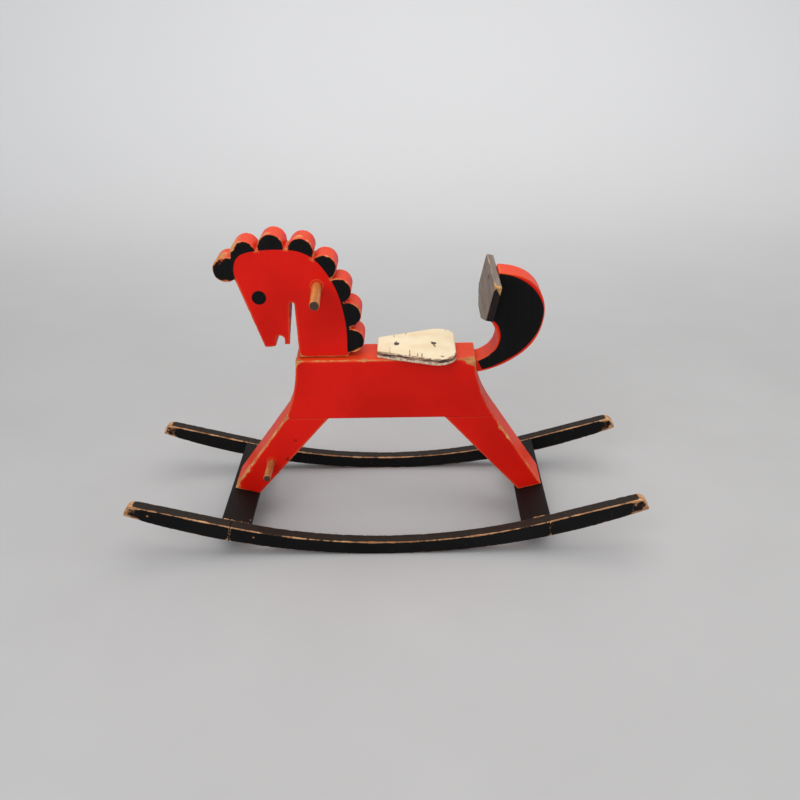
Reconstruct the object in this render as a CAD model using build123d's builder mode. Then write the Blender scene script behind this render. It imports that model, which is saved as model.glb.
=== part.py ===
from build123d import *

import math
import os

# A toddler's rocking horse sawn from thick boards: a block of a body on two splayed legs,
# a flat head and a curled flat tail, a plywood seat, a small backrest, grip and footrest
# dowels, and two bow rockers tied by two crossboards.
#
# Frame, in millimetres: +Z up with the floor at z = 0, the horse faces -X, and y = 0 is the
# middle of the body. The origin lies on the floor under the middle of the rockers.
# The horse's left side is -Y.

# ---- Driving dimensions -------------------------------------------------------------------

# Rockers
ROCKER_LENGTH = 866.0          # tip to tip
ROCKER_SPREAD = 310.0          # over the two outer faces
ROCKER_THICK = 22.0
ROCKER_RADIUS = 1.37067 * ROCKER_LENGTH        # bottom edge, the one that rolls
ROCKER_MID_HEIGHT = 24.0       # height of the section at the middle
ROCKER_TOP_RADIUS = 1.16628 * ROCKER_LENGTH    # top edge between the crossboards
TIP_TOP_FILLET = 16.0
TIP_BOTTOM_FILLET = 6.0
ROCKER_ARRIS = 1.5             # rounding of the long edges

# Crossboards
CROSS_X = 0.28868 * ROCKER_LENGTH              # middle of each crossboard, fore and aft
CROSS_WIDTH = 50.0
CROSS_THICK = 22.0
FRONT_SPLICE_BEYOND = 7.5      # from the middle of the crossboard out to the glued joint of
REAR_SPLICE_BEYOND = 20.0      # the rocker's end piece, at the top edge

# Body
BODY_THICK = 72.0
BODY_TOP = 303.5
BODY_HEIGHT = 107.0
BODY_FRONT = -145.5            # front and rear ends of the flat top
BODY_REAR = 153.5
FRONT_FLARE = 24.5             # how far the ends sweep out above the legs
REAR_FLARE = 32.0

# Legs
FRONT_LEG_TOP_WIDTH = 75.0     # along the glued seam under the body
REAR_LEG_TOP_WIDTH = 84.0
FRONT_TOE = 19.5               # foot beyond the middle of the crossboard
FRONT_HEEL = 24.5              # and inside it
REAR_TOE = 22.5
REAR_HEEL = 18.0

# Head, sawn from one board; (x, z) points are from the front of the neck's foot
HEAD_THICK = 50.0
HEAD_Y = 5.0                   # the head board sits this far towards the right side
NECK_SET_BACK = 5.7            # neck's foot behind the front end of the body's top
NECK_LENGTH = 81.8
JAW_SLOT = [(-2.5, 93.5), (-5.9, 96.8), (-9.4, 93.5)]    # round top of the slot behind the jaw
CHIN = [(-13.9, 24.0), (-22.8, 23.7), (-22.5, 31.5)]
JAW_SKEW = 5.0                 # slot's lower end lies this much further forward on the right face
MOUTH = [(-28.9, 39.2), (-35.2, 36.4)]                   # round top of the mouth notch
NOSE = [(-38.0, 19.9), (-55.6, 19.1)]
FOREHEAD = (-95.2, 137.5)
LOBE_RADIUS = 21.0             # scallops of the mane
LOBE_CENTRES = [               # from the forelock down to the withers
    (-108.7, 154.0),
    (-78.7, 179.5),
    (-33.7, 189.8),
    (12.8, 182.5),
    (48.5, 154.5),
    (70.1, 115.5),
    (85.0, 74.0),
    (88.3, 28.0),
]

# Tail; (x, z) points are from the rear end of the body's top
TAIL_THICK = 50.0
TAIL_Y = 0.0
TAIL_OUTER = [                 # outer edge of the curl, from below its tip down to the body
    (61.7, 139.7),
    (86.5, 128.5),
    (103.5, 109.0),
    (111.3, 81.5),
    (107.5, 51.5),
    (92.5, 20.5),
    (66.0, -3.5),
    (32.0, -21.5),
]
TAIL_INNER = [                 # inner edge, from the body up to below the backrest
    (19.0, -0.5),
    (30.1, 11.6),
    (34.8, 26.0),
    (33.0, 43.0),
    (24.5, 60.0),
]
TAIL_ROOT_TOP = -9.0           # where the two edges reach the body
TAIL_ROOT_BOTTOM = -30.0
TAIL_TRIM = 1.0                # the sawn root runs this far into the body, which trims it
TAIL_TIP_RISE = 79.5           # up the back of the backrest from its bottom edge
TAIL_TIP_START = 3.5

# Seat
SEAT_THICK = 12.0
SEAT_LENGTH = 131.0
SEAT_FROM_REAR = 32.5          # its rear edge, ahead of the rear end of the body's top
SEAT_Y = 4.5                   # like the head, it sits a little towards the right side
SEAT_FRONT_WIDTH = 63.0
SEAT_TAPER = 20.8              # degrees, each side
SEAT_REAR_FILLET = 30.0
SEAT_FRONT_FILLET = 4.0
SEAT_ARRIS = 2.0

# Backrest
BACKREST_THICK = 12.0
BACKREST_WIDTH = 172.0
BACKREST_HEIGHT = 75.5
BACKREST_SIDE = 58.0           # straight part of each side, above the cut lower corners
BACKREST_FOOT_WIDTH = 60.0     # bottom edge between the cut corners
BACKREST_LEAN = 13.0           # degrees back from upright
BACKREST_SET_BACK = 6.7        # bottom edge of its front face, behind the body's top
BACKREST_RISE = 68.5           # and above it
BACKREST_CORNER = 4.0

# Grip and footrest
HANDLE_DIAMETER = 16.0
HANDLE_REACH = 95.0            # length standing out of each face of the head
HANDLE_AT = (35.0, 124.8)      # (x, z) of its middle from the front of the neck's foot
HANDLE_SKEW = 2.7              # degrees its left end leans back, the hole being drilled askew
FOOTREST_DIAMETER = 12.0
FOOTREST_REACH = 58.0
FOOTREST_DOWN = 0.585          # share of the way down the front leg
ROD_END_SHARE = 0.1            # rounding of the rods' ends, of their diameter

# Hidden joinery
DOWEL_END_SHARE = 1 / 12       # of its diameter, taken off the ends of every hidden dowel
DOWEL_GAP = 0.05               # clearance on the radius of every glued dowel and screw
GLUE_POCKET = 1.0              # hole left over beyond each end of a blind dowel
FRAME_DOWEL_DIAMETER = 12.0
FRAME_DOWEL_LENGTH = 60.0
LEG_DOWEL_SHARE = 0.225        # of the seam's length, either side of its middle
TAIL_DOWEL_DIAMETER = 8.0
TAIL_DOWEL_LENGTH = 36.0
TAIL_DOWEL_SLOPE = 20.0        # degrees above level, going back into the tail
CROSS_DOWEL_DIAMETER = 8.0
CROSS_DOWEL_LENGTH = 36.0
CROSS_DOWEL_IN_ROCKER = 12.0
CROSS_DOWEL_SHARES = (-0.32, -0.06)    # across the crossboard from its middle, outward
SPLICE_DOWEL_DIAMETER = 6.0
SPLICE_DOWEL_LENGTH = 36.0
SPLICE_DOWEL_SHARE = 0.25      # of the section's height, above the bottom edge
SCREW_DIAMETER = 4.5
SCREW_HEAD_DIAMETER = 9.0
SCREW_SLOT_WIDTH = 1.2
SCREW_SLOT_DEPTH = 1.3
SEAT_SCREW_LENGTH = 40.0
SEAT_SCREW_SHARES = (0.2473, 0.7252)    # of the seat's length, from its front edge
BACKREST_SCREW_RISE = 62.5     # up the front face from the bottom edge
LEG_SCREW_LENGTH = 60.0
LEG_SCREW_SPACING = 36.0

# ---- Derived places -----------------------------------------------------------------------

ROCKER_Y = ROCKER_SPREAD / 2 - ROCKER_THICK / 2
ROCKER_INNER_Y = ROCKER_SPREAD / 2 - ROCKER_THICK
TOP_ARC_Z = ROCKER_MID_HEIGHT + ROCKER_TOP_RADIUS
CROSS_ANGLE = math.degrees(math.asin(CROSS_X / ROCKER_TOP_RADIUS))
CROSS_TOP = TOP_ARC_Z - ROCKER_TOP_RADIUS * math.cos(math.radians(CROSS_ANGLE))
FRONT_SPLICE_X = CROSS_X + FRONT_SPLICE_BEYOND
REAR_SPLICE_X = CROSS_X + REAR_SPLICE_BEYOND

BODY_UNDER = BODY_TOP - BODY_HEIGHT
FRONT_SEAM_OUT = BODY_FRONT - FRONT_FLARE
FRONT_SEAM_IN = FRONT_SEAM_OUT + FRONT_LEG_TOP_WIDTH
REAR_SEAM_OUT = BODY_REAR + REAR_FLARE
REAR_SEAM_IN = REAR_SEAM_OUT - REAR_LEG_TOP_WIDTH
FRONT_FOOT_OUT = -CROSS_X - FRONT_TOE
FRONT_FOOT_IN = -CROSS_X + FRONT_HEEL
REAR_FOOT_OUT = CROSS_X + REAR_TOE
REAR_FOOT_IN = CROSS_X - REAR_HEEL

NECK_FRONT = BODY_FRONT + NECK_SET_BACK
HANDLE_MIDDLE = (NECK_FRONT + HANDLE_AT[0], HEAD_Y, BODY_TOP + HANDLE_AT[1])
SKEW = math.radians(HANDLE_SKEW)

SEAT_REAR = BODY_REAR - SEAT_FROM_REAR
SEAT_FRONT = SEAT_REAR - SEAT_LENGTH
SEAT_TOP = BODY_TOP + SEAT_THICK

LEAN = math.radians(BACKREST_LEAN)
BACKREST_BASE = (BODY_REAR + BACKREST_SET_BACK, BODY_TOP + BACKREST_RISE)

os.makedirs("parts", exist_ok=True)


def save(builder, name):
    """Label a finished piece and write it as its own STEP file."""
    builder.part.label = name
    export_step(builder.part, f"parts/{name}.step")


def cross_plane(x_side, lift=0.0):
    """Plane of a crossboard's top: x_side is -1 at the front and +1 at the rear."""
    angle = math.radians(CROSS_ANGLE) * x_side
    normal = (-math.sin(angle), 0, math.cos(angle))
    middle = (CROSS_X * x_side, 0, CROSS_TOP)
    return Plane(origin=middle, x_dir=(math.cos(angle), 0, math.sin(angle)), z_dir=normal).offset(lift)


def foot_height(x, x_side):
    """Height of the crossboard's top plane at x."""
    slope = math.tan(math.radians(CROSS_ANGLE))
    return CROSS_TOP + (x * x_side - CROSS_X) * slope


def rod_plane(middle, direction, length):
    """Plane at the lower end of a straight rod, looking along it."""
    start = Vector(*middle) - Vector(*direction).normalized() * (length / 2)
    return Plane(origin=start, z_dir=direction)


def dowel_holes(planes, diameter, length):
    """The glue holes of a set of dowels, as one cutting tool."""
    with BuildPart() as holes:
        for plane in planes:
            with BuildSketch(plane.offset(-GLUE_POCKET)):
                Circle(diameter / 2 + DOWEL_GAP)
            extrude(amount=length + 2 * GLUE_POCKET)
    return holes.part


def dowels(name, planes, diameter, length):
    """A set of like dowels, each a separate solid with chamfered ends."""
    with BuildPart() as pins:
        for plane in planes:
            with BuildSketch(plane):
                Circle(diameter / 2)
            extrude(amount=length)
        ends = pins.edges().filter_by(GeomType.CIRCLE)
        chamfer(ends, length=diameter * DOWEL_END_SHARE)
    save(pins, name)


def screw_holes(planes, length):
    """The countersunk holes of a set of screws, heads flush with the planes, as one tool."""
    cone = (SCREW_HEAD_DIAMETER - SCREW_DIAMETER) / 2
    with BuildPart() as holes:
        for plane in planes:
            with BuildSketch(plane):
                Circle(SCREW_DIAMETER / 2 + DOWEL_GAP)
            extrude(amount=-length - GLUE_POCKET)
            with BuildSketch(plane):
                Circle(SCREW_HEAD_DIAMETER / 2 + DOWEL_GAP)
            extrude(amount=-cone, taper=45)
    return holes.part


def screws(name, planes, length):
    """Slotted countersunk wood screws, one solid each, heads flush with the planes."""
    cone = (SCREW_HEAD_DIAMETER - SCREW_DIAMETER) / 2
    with BuildPart() as group:
        for plane in planes:
            with BuildSketch(plane):
                Circle(SCREW_HEAD_DIAMETER / 2)
            extrude(amount=-cone, taper=45)
            with BuildSketch(plane.offset(-cone)):
                Circle(SCREW_DIAMETER / 2)
            extrude(amount=-length + 2 * cone)
            with BuildSketch(plane.offset(-length + cone)):
                Circle(SCREW_DIAMETER / 2)
            extrude(amount=-cone, taper=40)
            with BuildSketch(plane):
                Rectangle(SCREW_HEAD_DIAMETER, SCREW_SLOT_WIDTH)
            extrude(amount=-SCREW_SLOT_DEPTH, mode=Mode.SUBTRACT)
    save(group, name)


# ---- Where the hidden dowels and screws lie ------------------------------------------------

def seam_dowel_planes(seam_in, seam_out, foot_in, foot_out, x_side):
    """Two dowels across a leg's glued seam, leaning as the leg does."""
    foot_middle = (foot_in + foot_out) / 2
    seam_middle = (seam_in + seam_out) / 2
    rise = BODY_UNDER - foot_height(foot_middle, x_side)
    direction = (seam_middle - foot_middle, 0, rise)
    offset = (seam_out - seam_in) * LEG_DOWEL_SHARE
    middles = [(seam_middle + step * offset, 0, BODY_UNDER) for step in (-1, 1)]
    return [rod_plane(middle, direction, FRAME_DOWEL_LENGTH) for middle in middles]


front_leg_dowel_planes = seam_dowel_planes(
    FRONT_SEAM_IN, FRONT_SEAM_OUT, FRONT_FOOT_IN, FRONT_FOOT_OUT, -1)
rear_leg_dowel_planes = seam_dowel_planes(
    REAR_SEAM_IN, REAR_SEAM_OUT, REAR_FOOT_IN, REAR_FOOT_OUT, 1)

neck_dowel_planes = [
    rod_plane((NECK_FRONT + share * NECK_LENGTH, HEAD_Y, BODY_TOP), (0, 0, 1), FRAME_DOWEL_LENGTH)
    for share in (0.25, 0.75)
]

tail_slope = math.radians(TAIL_DOWEL_SLOPE)
tail_root_z = BODY_TOP + (TAIL_ROOT_TOP + TAIL_ROOT_BOTTOM) / 2
tail_dowel_planes = [
    rod_plane(
        (BODY_REAR, TAIL_Y + side * TAIL_THICK / 4, tail_root_z),
        (math.cos(tail_slope), 0, math.sin(tail_slope)),
        TAIL_DOWEL_LENGTH,
    )
    for side in (-1, 1)
]


def cross_dowel_planes(x_side, y_side):
    """Two dowels from a crossboard's end into the middle piece of one rocker."""
    board = cross_plane(x_side, lift=-CROSS_THICK / 2)
    start = y_side * (ROCKER_INNER_Y + CROSS_DOWEL_IN_ROCKER)
    offsets = [share * CROSS_WIDTH * x_side for share in CROSS_DOWEL_SHARES]
    points = [board.from_local_coords((offset, start, 0)) for offset in offsets]
    return [Plane(origin=point, x_dir=(1, 0, 0), z_dir=(0, -y_side, 0)) for point in points]


def leg_screw_planes(x_side):
    """Two screws through the underside of a crossboard into the foot above it."""
    board = cross_plane(x_side, lift=-CROSS_THICK)
    down = (-board.z_dir.X, 0, -board.z_dir.Z)
    points = [board.from_local_coords((0, side * LEG_SCREW_SPACING / 2, 0)) for side in (-1, 1)]
    return [Plane(origin=point, x_dir=(0, 1, 0), z_dir=down) for point in points]


seat_screw_planes = [
    Plane(origin=(SEAT_FRONT + share * SEAT_LENGTH, SEAT_Y, SEAT_TOP)) for share in SEAT_SCREW_SHARES
]

backrest_plane = Plane(
    origin=(BACKREST_BASE[0], TAIL_Y, BACKREST_BASE[1]),
    x_dir=(0, -1, 0),
    z_dir=(-math.cos(LEAN), 0, math.sin(LEAN)),
)
backrest_screw_plane = Plane(
    origin=backrest_plane.from_local_coords((0, BACKREST_SCREW_RISE, 0)),
    x_dir=(0, 1, 0),
    z_dir=backrest_plane.z_dir,
)

handle_way = Vector(math.sin(SKEW), -math.cos(SKEW), 0)
handle_length = HEAD_THICK / math.cos(SKEW) + 2 * HANDLE_REACH
handle_plane = rod_plane(HANDLE_MIDDLE, handle_way, handle_length)

leg_middle_top = (FRONT_SEAM_IN + FRONT_SEAM_OUT) / 2
leg_middle_foot = (FRONT_FOOT_IN + FRONT_FOOT_OUT) / 2
footrest_x = leg_middle_top + FOOTREST_DOWN * (leg_middle_foot - leg_middle_top)
footrest_z = BODY_UNDER + FOOTREST_DOWN * (foot_height(leg_middle_foot, -1) - BODY_UNDER)
footrest_length = BODY_THICK + 2 * FOOTREST_REACH
footrest_plane = rod_plane((footrest_x, 0, footrest_z), (0, -1, 0), footrest_length)

handle_hole = dowel_holes([handle_plane], HANDLE_DIAMETER, handle_length)
footrest_hole = dowel_holes([footrest_plane], FOOTREST_DIAMETER, footrest_length)
neck_holes = dowel_holes(neck_dowel_planes, FRAME_DOWEL_DIAMETER, FRAME_DOWEL_LENGTH)
tail_holes = dowel_holes(tail_dowel_planes, TAIL_DOWEL_DIAMETER, TAIL_DOWEL_LENGTH)
front_leg_holes = dowel_holes(front_leg_dowel_planes, FRAME_DOWEL_DIAMETER, FRAME_DOWEL_LENGTH)
rear_leg_holes = dowel_holes(rear_leg_dowel_planes, FRAME_DOWEL_DIAMETER, FRAME_DOWEL_LENGTH)
seat_screw_holes = screw_holes(seat_screw_planes, SEAT_SCREW_LENGTH)
backrest_screw_hole = screw_holes([backrest_screw_plane], SEAT_SCREW_LENGTH)


# ---- Body ----------------------------------------------------------------------------------

def body_outline():
    """Level top and underside, ends that flare out into the legs."""
    with BuildLine() as edge:
        Line((BODY_FRONT, BODY_TOP), (BODY_REAR, BODY_TOP))
        TangentArc((BODY_REAR, BODY_TOP), (REAR_SEAM_OUT, BODY_UNDER), tangent=(0, -1))
        Line((REAR_SEAM_OUT, BODY_UNDER), (FRONT_SEAM_OUT, BODY_UNDER))
        TangentArc((BODY_FRONT, BODY_TOP), (FRONT_SEAM_OUT, BODY_UNDER), tangent=(0, -1))
    return edge


with BuildPart() as body_block:
    with BuildSketch(Plane.XZ):
        add(body_outline().line)
        make_face()
    extrude(amount=BODY_THICK / 2, both=True)
    add([neck_holes, tail_holes, front_leg_holes, rear_leg_holes, seat_screw_holes], mode=Mode.SUBTRACT)
save(body_block, "body_block")


# ---- Legs ----------------------------------------------------------------------------------

def leg(name, seam_in, seam_out, foot_in, foot_out, x_side, holes):
    """A straight tapered leg, sawn at the foot to lie on its crossboard."""
    foot_holes = screw_holes(leg_screw_planes(x_side), LEG_SCREW_LENGTH)
    with BuildPart() as piece:
        with BuildSketch(Plane.XZ):
            with BuildLine():
                Polyline(
                    (seam_in, BODY_UNDER),
                    (seam_out, BODY_UNDER),
                    (foot_out, foot_height(foot_out, x_side)),
                    (foot_in, foot_height(foot_in, x_side)),
                    close=True,
                )
            make_face()
        extrude(amount=BODY_THICK / 2, both=True)
        add([*holes, foot_holes], mode=Mode.SUBTRACT)
    save(piece, name)


leg("front_leg", FRONT_SEAM_IN, FRONT_SEAM_OUT, FRONT_FOOT_IN, FRONT_FOOT_OUT, -1,
    [front_leg_holes, footrest_hole])
leg("rear_leg", REAR_SEAM_IN, REAR_SEAM_OUT, REAR_FOOT_IN, REAR_FOOT_OUT, 1, [rear_leg_holes])


# ---- Head ----------------------------------------------------------------------------------

head_plane = Plane(origin=(NECK_FRONT, HEAD_Y, BODY_TOP), x_dir=(1, 0, 0), z_dir=(0, -1, 0))

# The slot is sawn askew, so its front wall is cut by a wedge that grows towards the right face.
slot_middle = JAW_SLOT[1][0]
with BuildPart() as slot_wedge:
    for depth, skew in ((HEAD_THICK / 2, 0), (-HEAD_THICK / 2, JAW_SKEW)):
        with BuildSketch(head_plane.offset(depth)):
            with BuildLine():
                wall_top, wall_foot = Vector(*JAW_SLOT[-1]), Vector(CHIN[0][0] - skew, CHIN[0][1])
                below = wall_foot + (wall_foot - wall_top) / 8
                Polyline(wall_top, below, (slot_middle, below.Y), (slot_middle, wall_top.Y), close=True)
            make_face()
    loft()

with BuildPart() as head_board:
    with BuildSketch(head_plane):
        with BuildLine():
            neck = Polyline((NECK_LENGTH, 0), (0, 0), JAW_SLOT[0])
            ThreePointArc(*JAW_SLOT)
            Polyline(JAW_SLOT[-1], (JAW_SLOT[-1][0], CHIN[0][1]), *CHIN[1:])
            ThreePointArc(CHIN[-1], *MOUTH)
            Polyline(MOUTH[-1], *NOSE, FOREHEAD, *LOBE_CENTRES, neck @ 0)
        make_face()
        with Locations(*LOBE_CENTRES):
            Circle(LOBE_RADIUS)
    extrude(amount=HEAD_THICK / 2, both=True)
    add([neck_holes, handle_hole, slot_wedge.part], mode=Mode.SUBTRACT)
save(head_board, "head_board")


# ---- Tail ----------------------------------------------------------------------------------

def backrest_back(rise):
    """(x, z) of the back of the backrest, rise above its bottom edge, from the body's top."""
    return (
        BACKREST_SET_BACK + BACKREST_THICK * math.cos(LEAN) + rise * math.sin(LEAN),
        BACKREST_RISE - BACKREST_THICK * math.sin(LEAN) + rise * math.cos(LEAN),
    )


tail_plane = Plane(origin=(BODY_REAR, TAIL_Y, BODY_TOP), x_dir=(1, 0, 0), z_dir=(0, -1, 0))

with BuildPart() as tail_board:
    with BuildSketch(tail_plane):
        outer_tip = backrest_back(TAIL_TIP_RISE)
        inner_tip = backrest_back(TAIL_TIP_START)
        root_bottom = (-TAIL_TRIM, TAIL_ROOT_BOTTOM)
        root_top = (-TAIL_TRIM, TAIL_ROOT_TOP)
        with BuildLine():
            Spline(outer_tip, *TAIL_OUTER, root_bottom)
            Line(root_bottom, root_top)
            Spline(root_top, *TAIL_INNER, inner_tip)
            Line(inner_tip, outer_tip)
        make_face()
    extrude(amount=TAIL_THICK / 2, both=True)
    with BuildSketch(Plane.XZ):
        add(body_outline().line)
        make_face()
    extrude(amount=BODY_THICK, both=True, mode=Mode.SUBTRACT)
    add([tail_holes, backrest_screw_hole], mode=Mode.SUBTRACT)
save(tail_board, "tail_board")


# ---- Seat and backrest ---------------------------------------------------------------------

with BuildPart() as seat_board:
    rear_half = SEAT_FRONT_WIDTH / 2 + SEAT_LENGTH * math.tan(math.radians(SEAT_TAPER))
    with BuildSketch(Plane(origin=(0, SEAT_Y, BODY_TOP))) as seat_outline:
        with BuildLine():
            Polyline(
                (SEAT_FRONT, -SEAT_FRONT_WIDTH / 2),
                (SEAT_REAR, -rear_half),
                (SEAT_REAR, rear_half),
                (SEAT_FRONT, SEAT_FRONT_WIDTH / 2),
                close=True,
            )
        make_face()
        fillet(seat_outline.vertices().group_by(Axis.X)[-1], radius=SEAT_REAR_FILLET)
        fillet(seat_outline.vertices().group_by(Axis.X)[0], radius=SEAT_FRONT_FILLET)
    extrude(amount=SEAT_THICK)
    fillet(seat_board.faces().sort_by(Axis.Z)[-1].edges(), radius=SEAT_ARRIS)
    add(seat_screw_holes, mode=Mode.SUBTRACT)
save(seat_board, "seat_board")

with BuildPart() as backrest_board:
    with BuildSketch(backrest_plane) as backrest_outline:
        cut_height = BACKREST_HEIGHT - BACKREST_SIDE
        with BuildLine():
            Polyline(
                (-BACKREST_FOOT_WIDTH / 2, 0),
                (BACKREST_FOOT_WIDTH / 2, 0),
                (BACKREST_WIDTH / 2, cut_height),
                (BACKREST_WIDTH / 2, BACKREST_HEIGHT),
                (-BACKREST_WIDTH / 2, BACKREST_HEIGHT),
                (-BACKREST_WIDTH / 2, cut_height),
                close=True,
            )
        make_face()
        fillet(backrest_outline.vertices(), radius=BACKREST_CORNER)
    extrude(amount=-BACKREST_THICK)
    add(backrest_screw_hole, mode=Mode.SUBTRACT)
save(backrest_board, "backrest_board")

screws("seat_screws", seat_screw_planes, SEAT_SCREW_LENGTH)
screws("backrest_screw", [backrest_screw_plane], SEAT_SCREW_LENGTH)


# ---- Grip and footrest ---------------------------------------------------------------------

def cross_rod(name, plane, diameter, length):
    """A round rod lying across the horse, with softened ends."""
    with BuildPart() as rod:
        with BuildSketch(plane):
            Circle(diameter / 2)
        extrude(amount=length)
        fillet(rod.edges().filter_by(GeomType.CIRCLE), radius=diameter * ROD_END_SHARE)
    save(rod, name)


cross_rod("handle_dowel", handle_plane, HANDLE_DIAMETER, handle_length)
cross_rod("footrest_dowel", footrest_plane, FOOTREST_DIAMETER, footrest_length)


# ---- Crossboards ---------------------------------------------------------------------------

for name, x_side in (("front_crossboard", -1), ("rear_crossboard", 1)):
    end_planes = cross_dowel_planes(x_side, -1) + cross_dowel_planes(x_side, 1)
    end_holes = dowel_holes(end_planes, CROSS_DOWEL_DIAMETER, CROSS_DOWEL_LENGTH)
    foot_holes = screw_holes(leg_screw_planes(x_side), LEG_SCREW_LENGTH)
    with BuildPart() as crossboard:
        with BuildSketch(cross_plane(x_side)):
            Rectangle(CROSS_WIDTH, 2 * ROCKER_INNER_Y)
        extrude(amount=-CROSS_THICK)
        long_edges = crossboard.edges().filter_by(Axis.Y)
        fillet(long_edges, radius=ROCKER_ARRIS)
        add([end_holes, foot_holes], mode=Mode.SUBTRACT)
    save(crossboard, name)
    dowels(f"{name}_dowels", end_planes, CROSS_DOWEL_DIAMETER, CROSS_DOWEL_LENGTH)

screws("front_leg_screws", leg_screw_planes(-1), LEG_SCREW_LENGTH)
screws("rear_leg_screws", leg_screw_planes(1), LEG_SCREW_LENGTH)


# ---- Rockers -------------------------------------------------------------------------------

def bottom_point(theta, rise=0.0):
    """Point of the rolling edge at theta radians from the middle, or rise above it."""
    radius = ROCKER_RADIUS - rise
    return (radius * math.sin(theta), ROCKER_RADIUS - radius * math.cos(theta))


def top_point(x):
    """Point of the hollow top edge between the splices."""
    return (x, TOP_ARC_Z - math.sqrt(ROCKER_TOP_RADIUS**2 - x**2))


def splice_angle(x):
    """Angle, at the centre of the rolling edge, of the joint whose top is at x."""
    return math.atan2(x, ROCKER_RADIUS - top_point(x)[1])


def splice_dowel_plane(x, x_side, y_side):
    """The dowel across one splice, low in the section."""
    theta = splice_angle(x) * x_side
    rise = SPLICE_DOWEL_SHARE * (top_point(x)[1] - bottom_point(theta)[1])
    middle = bottom_point(theta, rise=rise)
    along = (math.cos(theta), 0, math.sin(theta))
    return rod_plane((middle[0], ROCKER_Y * y_side, middle[1]), along, SPLICE_DOWEL_LENGTH)


def rocker_middle(name, y_side, splice_holes):
    """The long middle piece, hollowed along its top, between the two splices."""
    cross_planes = cross_dowel_planes(-1, y_side) + cross_dowel_planes(1, y_side)
    cross_holes = dowel_holes(cross_planes, CROSS_DOWEL_DIAMETER, CROSS_DOWEL_LENGTH)
    front, rear = -FRONT_SPLICE_X, REAR_SPLICE_X
    front_low, rear_low = bottom_point(splice_angle(front)), bottom_point(splice_angle(rear))
    with BuildPart() as piece:
        with BuildSketch(Plane.XZ.offset(-ROCKER_Y * y_side)):
            with BuildLine():
                ThreePointArc(front_low, (0, 0), rear_low)
                Line(rear_low, top_point(rear))
                ThreePointArc(top_point(rear), top_point(0), top_point(front))
                Line(top_point(front), front_low)
            make_face()
        extrude(amount=ROCKER_THICK / 2, both=True)
        fillet(long_arrises(piece), radius=ROCKER_ARRIS)
        add([cross_holes, splice_holes], mode=Mode.SUBTRACT)
    save(piece, name)


def long_arrises(piece):
    """The curved or long edges on both faces of a rocker piece, leaving its ends square."""
    flat_sides = piece.faces().filter_by(Axis.Y)
    return [edge for edge in flat_sides.edges() if edge.length > 60]


def rocker_end(name, splice_x, x_side, y_side, splice_holes):
    """A tapering end piece: straight along its top, rounded off at the tip."""
    theta = splice_angle(splice_x)
    tip_theta = math.asin(ROCKER_LENGTH / 2 / ROCKER_RADIUS)
    top_start = top_point(splice_x)
    top_slope = math.tan(math.asin(splice_x / ROCKER_TOP_RADIUS))
    tip_low = bottom_point(tip_theta)
    lean = math.tan(tip_theta)
    run = (tip_low[0] - top_start[0] + lean * (tip_low[1] - top_start[1])) / (1 + lean * top_slope)
    tip_high = (top_start[0] + run, top_start[1] + run * top_slope)
    outline = [bottom_point(theta), bottom_point((theta + tip_theta) / 2), tip_low, tip_high, top_start]
    low, low_middle, tip_low, tip_high, top_start = [(x * x_side, z) for x, z in outline]
    with BuildPart() as piece:
        with BuildSketch(Plane.XZ.offset(-ROCKER_Y * y_side)) as profile:
            with BuildLine():
                ThreePointArc(low, low_middle, tip_low)
                Polyline(tip_low, tip_high, top_start, low)
            make_face()
            by_x = profile.vertices().sort_by(Axis.X)
            tips = by_x[-2:] if x_side > 0 else by_x[:2]
            lower, upper = sorted(tips, key=lambda corner: (corner.Z, corner.Y))
            fillet(upper, radius=TIP_TOP_FILLET)
            fillet(lower, radius=TIP_BOTTOM_FILLET)
        extrude(amount=ROCKER_THICK / 2, both=True)
        fillet(long_arrises(piece), radius=ROCKER_ARRIS)
        add(splice_holes, mode=Mode.SUBTRACT)
    save(piece, name)


for side, y_side in (("left", -1), ("right", 1)):
    splice_planes = [
        splice_dowel_plane(FRONT_SPLICE_X, -1, y_side),
        splice_dowel_plane(REAR_SPLICE_X, 1, y_side),
    ]
    splice_holes = dowel_holes(splice_planes, SPLICE_DOWEL_DIAMETER, SPLICE_DOWEL_LENGTH)
    rocker_middle(f"{side}_rocker_middle", y_side, splice_holes)
    rocker_end(f"{side}_rocker_front_end", FRONT_SPLICE_X, -1, y_side, splice_holes)
    rocker_end(f"{side}_rocker_rear_end", REAR_SPLICE_X, 1, y_side, splice_holes)
    dowels(f"{side}_rocker_splice_dowels", splice_planes, SPLICE_DOWEL_DIAMETER, SPLICE_DOWEL_LENGTH)

dowels("neck_dowels", neck_dowel_planes, FRAME_DOWEL_DIAMETER, FRAME_DOWEL_LENGTH)
dowels("tail_dowels", tail_dowel_planes, TAIL_DOWEL_DIAMETER, TAIL_DOWEL_LENGTH)
dowels("front_leg_dowels", front_leg_dowel_planes, FRAME_DOWEL_DIAMETER, FRAME_DOWEL_LENGTH)
dowels("rear_leg_dowels", rear_leg_dowel_planes, FRAME_DOWEL_DIAMETER, FRAME_DOWEL_LENGTH)
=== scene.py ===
import math

import bmesh
import bpy
import numpy as np
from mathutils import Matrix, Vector, bvhtree, kdtree


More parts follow.
